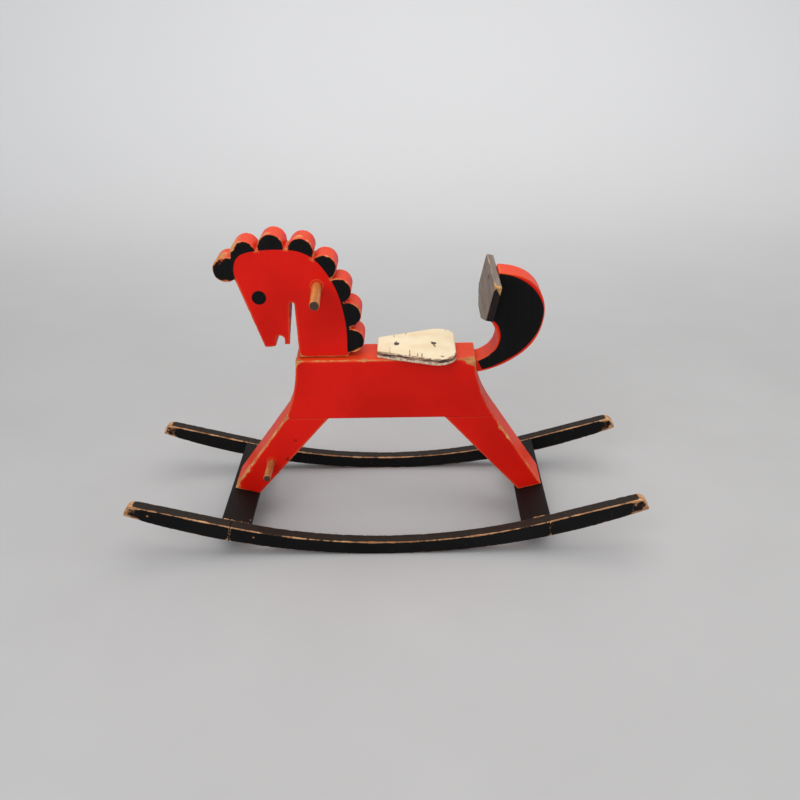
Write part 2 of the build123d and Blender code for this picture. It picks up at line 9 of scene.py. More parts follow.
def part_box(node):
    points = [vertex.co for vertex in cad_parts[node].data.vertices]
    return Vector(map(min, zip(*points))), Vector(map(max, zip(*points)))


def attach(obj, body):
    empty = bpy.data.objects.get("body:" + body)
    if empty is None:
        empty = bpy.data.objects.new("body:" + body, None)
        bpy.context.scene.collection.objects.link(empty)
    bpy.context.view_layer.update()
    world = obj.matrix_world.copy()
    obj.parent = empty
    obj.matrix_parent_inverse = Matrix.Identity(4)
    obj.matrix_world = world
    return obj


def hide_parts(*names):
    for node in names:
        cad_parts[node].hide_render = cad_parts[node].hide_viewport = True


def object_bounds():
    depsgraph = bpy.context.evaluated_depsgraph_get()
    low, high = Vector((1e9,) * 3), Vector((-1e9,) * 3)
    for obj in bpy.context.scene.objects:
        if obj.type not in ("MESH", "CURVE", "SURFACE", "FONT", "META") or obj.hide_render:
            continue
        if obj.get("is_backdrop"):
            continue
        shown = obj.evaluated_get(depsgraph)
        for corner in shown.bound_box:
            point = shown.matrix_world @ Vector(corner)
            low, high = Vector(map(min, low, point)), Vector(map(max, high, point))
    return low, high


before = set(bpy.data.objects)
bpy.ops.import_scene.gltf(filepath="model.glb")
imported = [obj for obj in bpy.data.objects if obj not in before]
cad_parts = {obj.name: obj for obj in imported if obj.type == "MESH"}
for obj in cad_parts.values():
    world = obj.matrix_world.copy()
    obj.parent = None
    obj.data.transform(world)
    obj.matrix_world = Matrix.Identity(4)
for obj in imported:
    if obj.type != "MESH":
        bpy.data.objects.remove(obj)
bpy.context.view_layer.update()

# The looks of the rocking horse: each CAD board is rebuilt as a fine mesh with softened,
# chipped arrises, and a painted, worn material that follows values stored on its vertices.
# Lengths in the tables below are millimetres in the model's frame; Blender works in metres.

MM = 0.001


def span(node, axis):
    """Lowest and highest place of a CAD node along axis 0, 1 or 2, in millimetres."""
    low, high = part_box(node)
    return round(low[axis] / MM, 2), round(high[axis] / MM, 2)


HALF_BODY = span("body_block", 1)[1]           # half the thickness of the body and legs
SEAM_Z, BODY_TOP_Z = span("body_block", 2)     # glued seam at the legs, and the flat top
HEAD_NEAR, HEAD_FAR = span("head_board", 1)    # the faces of the head
SEAT_TOP_Z = span("seat_board", 2)[1]
ROCKER_INNER, ROCKER_OUTER = span("right_rocker_middle", 1)


# ---- Noise on points -----------------------------------------------------------------------

def value_noise(points, seed):
    """Smooth noise from -1 to 1 at each point, on a unit lattice."""
    cell = np.floor(points).astype(np.int64)
    part = points - cell
    fade = part * part * part * (part * (part * 6 - 15) + 10)
    total = np.zeros(len(points))
    for corner in np.ndindex(2, 2, 2):
        at = cell + np.array(corner)
        mixed = at[:, 0] * 374761393 + at[:, 1] * 668265263 + at[:, 2] * 1442695041 + seed * 1274126177
        mixed = mixed & 0xFFFFFFFF
        mixed = ((mixed ^ (mixed >> 13)) * 1274126177) & 0xFFFFFFFF
        mixed = mixed ^ (mixed >> 16)
        weight = np.prod(np.where(np.array(corner) > 0, fade, 1 - fade), axis=1)
        total += weight * (mixed / 2.0**31 - 1)
    return total


def cloud(points, size, octaves=3, seed=0):
    """Layered noise from about -1 to 1, whose largest lumps are size mm."""
    total, amount, scale = np.zeros(len(points)), 1.0, 1.0 / size
    for octave in range(octaves):
        total += amount * value_noise(points * scale + 17.3 * octave, seed + octave)
        amount *= 0.55
        scale *= 2.03
    return total


def smoothstep(low, high, value):
    t = np.clip((value - low) / (high - low), 0, 1)
    return t * t * (3 - 2 * t)


# ---- Paint outlines in the side view, (x, z) -------------------------------------------------

def smooth_curve(points, steps=8):
    """Points along a smooth curve through a few given points."""
    p = np.array([points[0], *points, points[-1]], float)
    p[0], p[-1] = 2 * p[1] - p[2], 2 * p[-2] - p[-3]
    found = []
    for before, start, end, after in zip(p, p[1:], p[2:], p[3:]):
        for t in np.arange(steps) / steps:
            square = (2 * before - 5 * start + 4 * end - after) * t**2
            cube = (3 * start - before - 3 * end + after) * t**3
            found.append(tuple(0.5 * (2 * start + (end - before) * t + square + cube)))
    return found + [tuple(p[-2])]


# The red of the head: up the nape, over the crown and down to the forehead, then past the face.
# The rest of the head's two faces, which is the mane, is black.
NAPE_AND_CROWN = smooth_curve([(-59, 311), (-60, 361), (-72, 418), (-97, 463), (-127, 484.5), (-170, 489.5),
                               (-213, 485), (-230, 474.5), (-235.5, 456), (-233, 436.5)])
HEAD_RED = [(-59, 200)] + NAPE_AND_CROWN + [(-300, 400), (-300, 200)]

# The black of the tail, inset from its sawn edges.
TAIL_BACK = smooth_curve([(186, 446.5), (215, 439.5), (240.5, 424), (257, 402.5), (263, 379), (254.5, 344.5),
                          (228, 311), (189.5, 287.5), (164.5, 278.5)])
TAIL_INSIDE = smooth_curve([(157.5, 294.5), (175, 305), (186, 314), (192, 326.5), (194, 340.5), (189.5, 357),
                            (179, 367.5), (169, 373)])
TAIL_BLACK = TAIL_BACK + TAIL_INSIDE
EYE = (-198.5, 409.5)
EYE_RADIUS = 11.8


def outline_distance(points, outline):
    """Signed distance in the side view to a closed outline, positive inside."""
    x, z = points[:, 0], points[:, 2]
    nearest, inside = np.full(len(points), 1e9), np.zeros(len(points), bool)
    for (ax, az), (bx, bz) in zip(outline, outline[1:] + outline[:1]):
        run, rise = bx - ax, bz - az
        t = np.clip(((x - ax) * run + (z - az) * rise) / (run * run + rise * rise), 0, 1)
        nearest = np.minimum(nearest, np.hypot(x - ax - t * run, z - az - t * rise))
        if rise != 0:
            crosses = (az > z) != (bz > z)
            inside ^= crosses & (x < run * (z - az) / rise + ax)
    return np.where(inside, nearest, -nearest)


def segment_distance(points, start, end):
    """Distance to a straight line between two points."""
    a, b = np.array(start, float), np.array(end, float)
    way = b - a
    t = np.clip((points - a) @ way / (way @ way), 0, 1)
    return np.linalg.norm(points - a - t[:, None] * way, axis=1)


# ---- Rebuilding a CAD board as a fine, softened mesh -----------------------------------------

SHARP_ANGLE = 25.0             # degrees between two faces, from which their edge is an arris


class Board:
    """A fine copy of one CAD node: points, normals and edge distances in millimetres."""

    def __init__(self, name, node, slot, voxel=1.35, soften=4, seams=()):
        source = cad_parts[node].data.copy()
        shape = bmesh.new()
        shape.from_mesh(source)
        bmesh.ops.remove_doubles(shape, verts=shape.verts, dist=2e-6)
        tree, sharp = self._sharp_edges(shape, math.radians(SHARP_ANGLE), seams)
        surface = bvhtree.BVHTree.FromBMesh(shape)
        shape.to_mesh(source)
        shape.free()
        self.object = bpy.data.objects.new(name, source)
        bpy.context.scene.collection.objects.link(self.object)
        fine = self.object.modifiers.new("fine", "REMESH")
        fine.mode, fine.voxel_size = "VOXEL", voxel * MM
        if soften:
            soft = self.object.modifiers.new("soften", "SMOOTH")
            soft.factor, soft.iterations = 0.5, soften
        graph = bpy.context.evaluated_depsgraph_get()
        mesh = bpy.data.meshes.new_from_object(self.object.evaluated_get(graph))
        self.object.modifiers.clear()
        self.object.data = mesh
        mesh.name = name
        bpy.data.meshes.remove(source)
        self.mesh = mesh
        count = len(mesh.vertices)
        points = np.zeros(count * 3)
        mesh.vertices.foreach_get("co", points)
        self.points = points.reshape(-1, 3) / MM
        for z_seam in seams:
            self._snap(surface, z_seam)
        self.read_normals()
        self.edge = np.array([tree.find(p * MM)[2] if sharp else 1.0 for p in self.points]) / MM
        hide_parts(node)
        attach(self.object, "root")

    @staticmethod
    def _sharp_edges(shape, angle, seams):
        found = []
        for edge in shape.edges:
            if len(edge.link_faces) == 2 and edge.calc_face_angle(0) > angle:
                a, b = edge.verts[0].co, edge.verts[1].co
                steps = max(1, int((b - a).length / 0.0012))
                found += [a.lerp(b, i / steps) for i in range(steps + 1)]
        kept = [p for p in found if all(abs(seam(np.array(p) / MM)) > 0.5 for seam in seams)]
        tree = kdtree.KDTree(len(kept))
        for i, p in enumerate(kept):
            tree.insert(p, i)
        tree.balance()
        return tree, len(kept)

    def _snap(self, surface, seam):
        """Puts the points near a glued seam back on the CAD surface, so that it stays tight."""
        off = np.abs(seam(self.points))
        for i in np.flatnonzero(off < 3.5):
            near = surface.find_nearest(Vector(self.points[i] * MM))[0]
            share = float(smoothstep(3.5, 2.0, off[i]))
            self.points[i] += share * (np.array(near) / MM - self.points[i])

    def read_normals(self):
        self.write_points()
        normals = np.zeros(len(self.mesh.vertices) * 3)
        self.mesh.vertices.foreach_get("normal", normals)
        self.normals = normals.reshape(-1, 3)

    def write_points(self):
        self.mesh.vertices.foreach_set("co", (self.points * MM).astype(np.float32).ravel())
        self.mesh.update()

    def push(self, depth):
        """Moves each point inward by depth mm."""
        self.points = self.points - self.normals * depth[:, None]
        self.read_normals()

    def store(self, name, values):
        layer = self.mesh.attributes.new(name, "FLOAT", "POINT")
        layer.data.foreach_set("value", np.asarray(values, np.float32))

    def finish(self, material):
        self.mesh.materials.clear()
        self.mesh.materials.append(material)
        self.mesh.polygons.foreach_set("use_smooth", np.ones(len(self.mesh.polygons), bool))
        self.mesh.update()


def spot_sum(points, spots):
    """Placed wear: each spot is (x, y, z, radius, strength)."""
    total = np.zeros(len(points))
    for x, y, z, radius, strength in spots:
        away = np.linalg.norm(points - np.array((x, y, z)), axis=1)
        total += strength * np.exp(-((away / radius) ** 2))
    return total


def line_sum(points, lines):
    """Placed wear along lines: each is (start, end, radius, strength)."""
    total = np.zeros(len(points))
    for start, end, radius, strength in lines:
        total = np.maximum(total, strength * np.exp(-((segment_distance(points, start, end) / radius) ** 2)))
    return total


def age(board, seed, edge_gain=1.0, edge_width=1.8, bias=1.15, patch=26.0, spots=(), lines=(),
        chip_depth=0.55, wobble=0.18):
    """Works out where the paint is gone, takes chips off the arrises there and stores it."""
    p = board.points
    edge = np.maximum(board.edge - 0.7, 0)
    lumps = cloud(p, patch, 3, seed)
    chips = cloud(p, 4.5, 3, seed + 40)
    worn = edge_gain * np.exp(-edge / edge_width) + 0.55 * lumps * np.exp(-edge / (2.5 * edge_width))
    worn += 0.32 * chips - bias + spot_sum(p, spots) + line_sum(p, lines)
    bare = smoothstep(0.0, 0.35, worn)
    near_edge = np.exp(-edge / 2.2)
    dents = smoothstep(0.35, 0.9, cloud(p, 9.0, 3, seed + 80)) * near_edge
    rough = cloud(p, 3.2, 2, seed + 120) * bare
    depth = bare * (0.12 + chip_depth * near_edge * (0.6 + 0.4 * chips)) + 0.5 * dents
    depth += wobble * cloud(p, 70.0, 2, seed + 160) * 0.5 + 0.07 * rough
    board.push(depth)
    board.store("wear", worn)
    board.store("edge", edge)
    # How much each point faces up, for the paint's top tone: painted top light, partly worn paint on the
    # black boards.
    board.store("up", smoothstep(0.15, 0.85, board.normals[:, 2]))
    return worn


# ---- Materials -----------------------------------------------------------------------------

class Shader:
    """A short way to write a node material."""

    def __init__(self, name):
        self.material = bpy.data.materials.new(name)
        self.material.use_nodes = True
        self.tree = self.material.node_tree
        self.tree.nodes.clear()
        self.where = self.node("ShaderNodeTexCoord").outputs["Object"]

    def node(self, kind, inputs=None, **settings):
        made = self.tree.nodes.new(kind)
        for key, value in settings.items():
            setattr(made, key, value)
        for key, value in (inputs or {}).items():
            self.plug(made.inputs[key], value)
        return made

    def plug(self, socket, value):
        if isinstance(value, bpy.types.NodeSocket):
            self.tree.links.new(value, socket)
        else:
            socket.default_value = value

    def math(self, operation, a, b=0.0):
        return self.node("ShaderNodeMath", {0: a, 1: b}, operation=operation).outputs[0]

    def stretch(self, scale):
        """The piece's own coordinates, scaled separately along x, y and z."""
        return self.node("ShaderNodeMapping", {"Vector": self.where, "Scale": scale}).outputs[0]

    def noise(self, vector, scale=1.0, detail=3.0, roughness=0.55, distortion=0.0):
        inputs = {"Vector": vector, "Scale": scale, "Detail": detail, "Roughness": roughness}
        inputs["Distortion"] = distortion
        return self.node("ShaderNodeTexNoise", inputs).outputs["Fac"]

    def attribute(self, name):
        return self.node("ShaderNodeAttribute", attribute_name=name).outputs["Fac"]

    def steps(self, value, low, high, out_low=0.0, out_high=1.0):
        inputs = {"Value": value, "From Min": low, "From Max": high}
        inputs.update({"To Min": out_low, "To Max": out_high})
        made = self.node("ShaderNodeMapRange", inputs, interpolation_type="SMOOTHSTEP")
        return made.outputs["Result"]

    def mix(self, factor, a, b):
        made = self.node("ShaderNodeMix", data_type="RGBA")
        for index, value in ((0, factor), (6, a), (7, b)):
            if isinstance(value, tuple):
                value = (*value, 1.0)[:4]
            self.plug(made.inputs[index], value)
        return made.outputs[2]

    def finish(self, colour, roughness, height, bump_distance=0.0006, specular=0.5, metallic=0.0):
        bump = self.node("ShaderNodeBump", {"Height": height, "Distance": bump_distance, "Strength": 1.0})
        inputs = {"Base Color": colour, "Roughness": roughness, "Normal": bump.outputs["Normal"]}
        inputs.update({"Specular IOR Level": specular, "Metallic": metallic})
        shader = self.node("ShaderNodeBsdfPrincipled", inputs)
        out = self.node("ShaderNodeOutputMaterial")
        self.tree.links.new(shader.outputs[0], out.inputs["Surface"])
        return self.material


def srgb(*display):
    """Linear colour from red, green and blue display values of 0 to 255."""
    return tuple(((v / 255 + 0.055) / 1.055) ** 2.4 if v > 10 else v / 255 / 12.92 for v in display)


def bare_wood(s, grain, light=srgb(214, 160, 106), dark=srgb(150, 92, 52)):
    """Colour and fine height of worn bare softwood, its grain along the axis 'x', 'y' or 'z'."""
    along, across, fine = 7.0, 120.0, 700.0
    broad = [across, across, across]
    thin = [fine, fine, fine]
    axis = "xyz".index(grain)
    broad[axis], thin[axis] = along, along * 4
    rings = s.noise(s.stretch(tuple(broad)), 1.0, 4.0, 0.6, 0.6)
    fibres = s.noise(s.stretch(tuple(thin)), 1.0, 3.0, 0.7)
    tone = s.mix(s.steps(rings, 0.33, 0.68), light, dark)
    tone = s.mix(s.math("MULTIPLY", s.steps(fibres, 0.55, 0.8), 0.55), tone, srgb(96, 58, 34))
    dirt = s.steps(s.noise(s.where, 45.0, 5.0, 0.6), 0.5, 0.8)
    tone = s.mix(s.math("MULTIPLY", dirt, 0.45), tone, srgb(104, 74, 50))
    return tone, fibres


def painted(name, paint, grain, under, top, wood_tones, second=None, rubbed_and_highlight=None, gloss=0.42, shine=0.13,
            fade=0.08, speckle=0.0):
    """Old brushed paint over wood: bare where 'wear' is above 0, and second where 'mark' is.

    under is the tone at the rim of a chip; top is the lighter tone of faces that look up, a
    painted highlight of the top light on the red, partly worn paint and partly painted top
    light on the black boards; the tone of handled arrises is partly rubbed paint, partly a
    painted edge highlight."""
    s = Shader(name)
    wood, fibres = bare_wood(s, grain, *wood_tones)
    patches = s.noise(s.where, 7.0, 3.0, 0.5)
    specks = s.noise(s.where, 420.0, 4.0, 0.65)
    brush = [260.0, 260.0, 260.0]
    brush["xyz".index(grain)] = 9.0
    strokes = s.noise(s.stretch(tuple(brush)), 1.0, 3.0, 0.6)
    lighter = tuple(min(1.0, c * (1 + fade) + 0.002) for c in paint)
    darker = tuple(c * (1 - 1.6 * fade) for c in paint)
    coat = s.mix(s.steps(patches, 0.35, 0.65), darker, lighter)
    # Faces that look up take the top tone: a painted highlight on the red; partly worn paint, partly painted
    # top light on the black boards.
    coat = s.mix(s.math("MULTIPLY", s.attribute("up"), s.steps(patches, 0.3, 0.7, 0.75, 1.0)), coat, top)
    coat = s.mix(s.math("MULTIPLY", s.steps(strokes, 0.45, 0.75), 0.2), coat, darker)
    edge = s.attribute("edge")
    # Within about 4 mm of an arris the red lightens in patches: partly rubbed paint, partly a painted edge
    # highlight.
    if rubbed_and_highlight:
        rub_and_highlight = s.math("MULTIPLY", s.steps(edge, 4.0, 0.3), s.steps(patches, 0.38, 0.62, 0.15, 0.75))
        coat = s.mix(rub_and_highlight, coat, rubbed_and_highlight)
    rough = s.steps(specks, 0.3, 0.75, gloss - 0.05, gloss + 0.13)
    if second:
        mark = s.math("ADD", s.attribute("mark"), s.math("MULTIPLY", s.math("SUBTRACT", patches, 0.5), 1.2))
        mark = s.math("ADD", mark, s.math("MULTIPLY", s.math("SUBTRACT", specks, 0.5), 0.5))
        covers = s.steps(mark, -0.35, 0.35)
        worn_black = tuple(c * 2.2 + 0.001 for c in second)
        coat = s.mix(covers, coat, s.mix(s.steps(strokes, 0.45, 0.85), second, worn_black))
        rough = s.math("ADD", rough, s.math("MULTIPLY", covers, 0.12))
    nicks = s.noise(s.where, 150.0, 5.0, 0.7)
    worn = s.math("ADD", s.attribute("wear"), s.math("MULTIPLY", s.math("SUBTRACT", specks, 0.5), 0.75))
    worn = s.math("ADD", worn, s.math("MULTIPLY", s.math("SUBTRACT", nicks, 0.5), 0.6))
    gone = s.steps(worn, -0.02, 0.05)
    thin = s.steps(worn, -0.38, -0.03)
    colour = s.mix(s.math("MULTIPLY", thin, 0.75), coat, under)
    if speckle:
        flecks = s.steps(s.noise(s.where, 230.0, 3.0, 0.6), 0.70, 0.74)
        colour = s.mix(s.math("MULTIPLY", flecks, speckle), colour, srgb(120, 100, 82))
    colour = s.mix(gone, colour, wood)
    dark = s.math("ADD", s.attribute("dark"), s.math("MULTIPLY", s.math("SUBTRACT", nicks, 0.5), 0.5))
    colour = s.mix(s.math("MULTIPLY", s.steps(dark, 0.1, 0.7), 0.85), colour, srgb(44, 16, 10))
    grime = s.steps(s.noise(s.where, 26.0, 6.0, 0.65), 0.58, 0.82)
    colour = s.mix(s.math("MULTIPLY", grime, 0.14), colour, srgb(50, 22, 16))
    rough = s.math("ADD", rough, s.math("MULTIPLY", gone, 0.28))
    height = s.math("MULTIPLY", gone, -0.55)
    height = s.math("ADD", height, s.math("MULTIPLY", strokes, 0.10))
    height = s.math("ADD", height, s.math("MULTIPLY", specks, 0.05))
    height = s.math("ADD", height, s.math("MULTIPLY", s.math("MULTIPLY", fibres, gone), 0.35))
    return s.finish(colour, rough, height, bump_distance=0.00045, specular=shine)


RED = (0.66, 0.0062, 0.0010)
# Lighter, more orange red for faces that look up: a painted highlight of the top light.
RED_LIT_ABOVE = (0.70, 0.050, 0.008)
# Lighter red for handled arrises: partly rubbed paint, partly a painted edge highlight.
RED_RUBBED_AND_HIGHLIGHT = (0.78, 0.11, 0.03)
BLACK = (0.0022, 0.0020, 0.0022)
# Browner tones for the black boards' faces that look up, here and below: partly worn paint, partly painted
# top light.
BLACK_WORN_AND_LIT_ABOVE = (0.022, 0.0145, 0.010)
CROSSBOARD_WORN_AND_LIT_ABOVE = (0.007, 0.0042, 0.0035)
RED_CHIP, BLACK_CHIP = srgb(222, 96, 52), srgb(92, 60, 40)
RED_BARE = srgb(224, 158, 100), srgb(172, 98, 54)
BLACK_BARE = srgb(206, 160, 116), srgb(142, 98, 66)

red_x = painted("red_paint_grain_x", RED, "x", RED_CHIP, RED_LIT_ABOVE, RED_BARE, second=BLACK,
                rubbed_and_highlight=RED_RUBBED_AND_HIGHLIGHT)
red_z = painted("red_paint_grain_z", RED, "z", RED_CHIP, RED_LIT_ABOVE, RED_BARE, second=BLACK,
                rubbed_and_highlight=RED_RUBBED_AND_HIGHLIGHT)
black_x = painted("black_paint_grain_x", BLACK, "x", BLACK_CHIP, BLACK_WORN_AND_LIT_ABOVE, BLACK_BARE, gloss=0.5,
                  fade=0.2, speckle=0.6)
black_y = painted("black_paint_grain_y", BLACK, "y", BLACK_CHIP, CROSSBOARD_WORN_AND_LIT_ABOVE, BLACK_BARE, gloss=0.5,
                  shine=0.12, fade=0.2, speckle=0.3)


def rod_wood(name):
    """Handled bare dowel, darker on its end grain."""
    s = Shader(name)
    wood, fibres = bare_wood(s, "y", srgb(214, 136, 66), srgb(158, 88, 40))
    rings = s.noise(s.where, 600.0, 3.0, 0.6)
    end = s.mix(s.steps(rings, 0.35, 0.7), srgb(74, 43, 26), srgb(42, 23, 14))
    colour = s.mix(s.steps(s.attribute("end"), 0.3, 0.7), wood, end)
    hand = s.steps(s.noise(s.where, 60.0, 4.0, 0.6), 0.45, 0.75)
    colour = s.mix(s.math("MULTIPLY", hand, 0.3), colour, srgb(100, 54, 28))
    smear = s.math("ADD", s.attribute("root"), s.math("MULTIPLY", s.math("SUBTRACT", hand, 0.5), 0.3))
    colour = s.mix(s.math("MULTIPLY", s.steps(smear, 0.1, 0.9), 0.85), colour, RED)
    rough = s.steps(hand, 0.0, 1.0, 0.42, 0.62)
    return s.finish(colour, rough, fibres, bump_distance=0.00025)


def plain_wood(name):
    """Dowels hidden in their joints."""
    s = Shader(name)
    wood, fibres = bare_wood(s, "z", srgb(226, 186, 134), srgb(180, 132, 84))
    return s.finish(wood, s.steps(fibres, 0.2, 0.8, 0.55, 0.75), fibres, bump_distance=0.0002)


def old_steel(name):
    """Dull screws, browned with rust."""
    s = Shader(name)
    rust = s.steps(s.noise(s.where, 900.0, 6.0, 0.7), 0.42, 0.62)
    grain = s.noise(s.where, 3000.0, 3.0, 0.6)
    colour = s.mix(rust, srgb(96, 86, 78), srgb(70, 42, 26))
    rough = s.steps(rust, 0.0, 1.0, 0.42, 0.8)
    metallic = s.steps(rust, 0.0, 1.0, 0.85, 0.1)
    return s.finish(colour, rough, grain, bump_distance=0.0001, metallic=metallic)


# ---- Body and legs ---------------------------------------------------------------------------

def at_seam(points):
    return points[..., 2] - SEAM_Z


def no_marks(board):
    board.store("mark", np.full(len(board.points), -9.0))


body = Board("painted_body", "body_block", "red_paint", voxel=1.5, seams=[at_seam])
neck_line = [((-140, -20.6, 304), (-60, -20.6, 304), 3.0, 0.62)]
top_arris = [((-145, -31, BODY_TOP_Z), (-104, -32, BODY_TOP_Z), 6.5, 0.95),
             ((-104, -32, BODY_TOP_Z), (-30, -31, BODY_TOP_Z), 6.5, 0.85),
             ((-30, -HALF_BODY, BODY_TOP_Z), (150, -HALF_BODY, BODY_TOP_Z), 3.0, 0.6),
             ((-145.5, -35.5, 302), (-168, -35.5, 200), 3.4, 0.75)]
age(body, 11, edge_gain=0.9, edge_width=1.5, bias=1.22,
    spots=[(-145, -37, 301, 9, 1.5), (144, -35, 304, 13, 1.7), (151, -37, 300, 9, 1.2),
           (-145, 30, 303, 10, 0.8), (153, 30, 300, 10, 0.9), (-168, -36, 200, 8, 1.1),
           (-30, -33, 304, 8, 0.6), (110, 36, 303, 14, 0.6), (20, 36, 303, 12, 0.5)],
    lines=neck_line + top_arris)
no_marks(body)
under_neck = line_sum(body.points, [((-139, -22.2, 303.6), (-59, -22.2, 303.6), 1.3, 0.9)])
seam_dirt = np.exp(-np.abs(at_seam(body.points)) / 0.5) * smoothstep(-0.2, 0.5, cloud(body.points, 30, 2, 7))
body.store("dark", under_neck + 0.5 * seam_dirt)
body.finish(red_x)

FRONT_LEG_LINES = [((-170, -33, 196), (-205, -32, 148), 5.5, 1.3),
                   ((-205, -32, 148), (-240, -30, 98), 6.5, 1.4),
                   ((-240, -29, 98), (-269, -26, 60), 10.0, 1.7),
                   ((-172, 36, 190), (-268, 36, 60), 3.0, 0.6)]
FRONT_LEG_SPOTS = [(-270, -22, 62, 17, 1.4), (-152, -36.5, 196, 7, 0.75), (-170, -36, 197, 6, 1.0),
                   (-266, 10, 62, 14, 0.9), (-228, -36, 60, 5, 0.5)]
REAR_LEG_LINES = [((188, 36, 188), (222, 36, 120), 3.2, 0.7), ((222, 36, 120), (270, 36, 54), 2.6, 0.6),
                  ((187, -33, 190), (216, -33, 150), 5.0, 0.85), ((216, -33, 150), (270, -34, 58), 4.4, 0.8)]
REAR_LEG_SPOTS = [(197, -31, 172, 8, 1.0), (207, -31, 156, 6, 0.8), (178, -36.5, 196.5, 6, 0.6),
                  (244, -31, 100, 7, 0.7), (271, -34, 58, 7, 0.9), (271, 30, 58, 9, 0.8)]
SCUFFS = [(-155, -HALF_BODY, 154.5, 4.5, 0.45), (-171, -HALF_BODY, 118, 4.5, 0.6)]

for name, node, lines, spots, seed in (
        ("painted_front_leg", "front_leg", FRONT_LEG_LINES, FRONT_LEG_SPOTS, 23),
        ("painted_rear_leg", "rear_leg", REAR_LEG_LINES, REAR_LEG_SPOTS, 31)):
    leg = Board(name, node, "red_paint", voxel=1.4, seams=[at_seam])
    age(leg, seed, edge_gain=0.85, edge_width=1.6, bias=1.3, spots=spots, lines=lines, chip_depth=0.7)
    no_marks(leg)
    seam_dirt = np.exp(-np.abs(at_seam(leg.points)) / 0.5)
    seam_dirt *= 0.45 * smoothstep(-0.2, 0.5, cloud(leg.points, 30, 2, 7))
    leg.store("dark", seam_dirt + spot_sum(leg.points, SCUFFS))
    leg.finish(red_z)


# ---- Head and tail ---------------------------------------------------------------------------

def face_paint(board, side):
    """A painted shape's distance, held back where the surface turns off the flat faces."""
    return np.minimum(side, (np.abs(board.normals[:, 1]) - 0.62) * 9.0)


head = Board("painted_head", "head_board", "red_paint", voxel=1.25)
crest = [(-263, 6, 470, 18, 1.5), (-256, -10, 477, 12, 1.0), (-237, -4, 499, 13, 1.25),
         (-229, 16, 503, 12, 0.8), (-190, -12, 507, 9, 1.1), (-196, 10, 500, 8, 0.8),
         (-130, -6, 512, 9, 1.2), (-120, 14, 507, 8, 0.9), (-147, -17, 489, 4, 1.0),
         (-196, -17, 488, 3.5, 0.9), (-104, 2, 470, 9, 0.9), (-80, -16, 480, 7, 0.8),
         (-78, 4, 440, 8, 0.8), (-60, 8, 400, 7, 0.8), (-52, 20, 430, 7, 0.8),
         (-43, -20.5, 312, 5, 1.3), (-37, -19, 316, 5, 1.1), (-49, -20, 310, 4, 1.1),
         (-249, -18, 437, 6, 0.9), (-118, -20.5, 491, 5, 0.45), (-139, -20, 307, 10, 1.6)]
red_side = outline_distance(head.points, HEAD_RED)
age(head, 47, edge_gain=1.0, edge_width=1.2, bias=0.92 + 0.7 * smoothstep(-2, 3, red_side), spots=crest,
    lines=[((-140, -20.4, 304), (-60, -20.4, 304), 2.2, 1.25),
           ((-235, -19, 492), (-227, -18, 505), 4.2, 1.15), ((-227, -18, 505), (-211, -18, 514), 4.2, 1.1),
           ((-191, -11, 503), (-184, -10, 513), 6.0, 1.35), ((-184, -10, 513), (-175, -8, 517), 6.0, 1.3),
           ((-141, -11, 508), (-126, -8, 513), 6.5, 1.5), ((-118, -16, 511), (-106, -16, 500), 4.5, 1.4),
           ((-99, -15, 484), (-80, -15, 487), 4.5, 1.35)], chip_depth=0.4)
eye = EYE_RADIUS - np.hypot(head.points[:, 0] - EYE[0], head.points[:, 2] - EYE[1])
head.store("mark", face_paint(head, np.maximum(-red_side, eye)))
head.store("dark", line_sum(head.points, [((-139, -20, 303.6), (-59, -20, 303.6), 0.7, 0.5)]))
head.finish(red_z)

tail = Board("painted_tail", "tail_board", "red_paint", voxel=1.3)
age(tail, 59, edge_gain=0.9, edge_width=1.1, bias=1.3,
    spots=[(264, -24, 372, 4, 0.6), (158, -24, 276, 4, 0.7), (236, 25, 432, 6, 0.5)], chip_depth=0.4)
tail.store("mark", face_paint(tail, outline_distance(tail.points, TAIL_BLACK)))
tail.store("dark", np.zeros(len(tail.points)))
tail.finish(red_z)


# ---- Seat ------------------------------------------------------------------------------------

